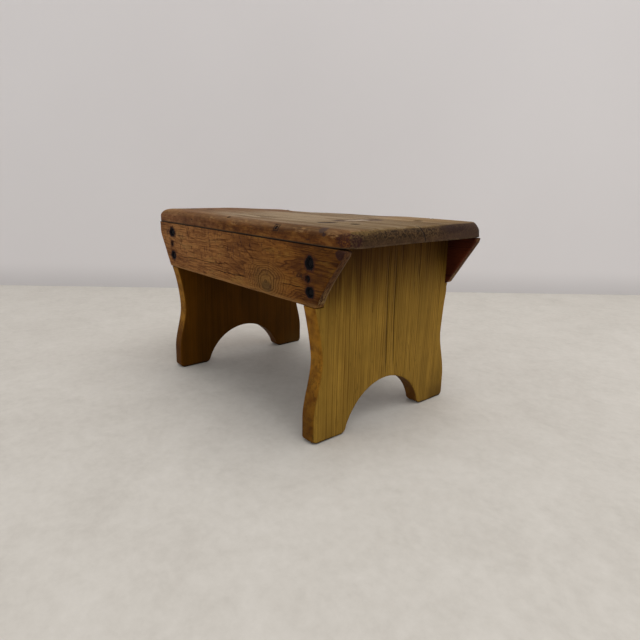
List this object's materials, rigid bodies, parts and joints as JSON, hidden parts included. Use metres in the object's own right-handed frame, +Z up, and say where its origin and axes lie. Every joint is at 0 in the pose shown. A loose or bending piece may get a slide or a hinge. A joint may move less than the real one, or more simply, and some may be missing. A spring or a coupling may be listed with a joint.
{
  "type": "footstool",
  "caption": "Low wooden footstool: a worn board top on waisted end boards with arched feet, tied by long aprons let into their edges and nailed.",
  "frame": {"origin": "on the floor, midway between the ends and midway between the front and rear faces", "axes": "+X along the stool to the end with the longer overhang, +Y to the rear, +Z up"},
  "size_m": [0.3564, 0.204, 0.2065],
  "materials": {
    "top_pine": "bare worn pine, greyed and waxed by use",
    "apron_pine": "stained reddish-brown pine, satin",
    "leg_pine": "golden brown varnished pine, satin",
    "nail_iron": "dark rusted iron"
  },
  "bodies": {
    "root": {"top_board": "top_pine", "front_apron": "apron_pine", "rear_apron": "apron_pine", "left_leg": "leg_pine", "right_leg": "leg_pine", "front_apron_nails": "nail_iron", "rear_apron_nails": "nail_iron", "front_apron_brads": "nail_iron", "rear_apron_brads": "nail_iron", "top_front_nails": "nail_iron", "top_rear_nails": "nail_iron", "top_leg_nails": "nail_iron"}
  },
  "joints": []
}
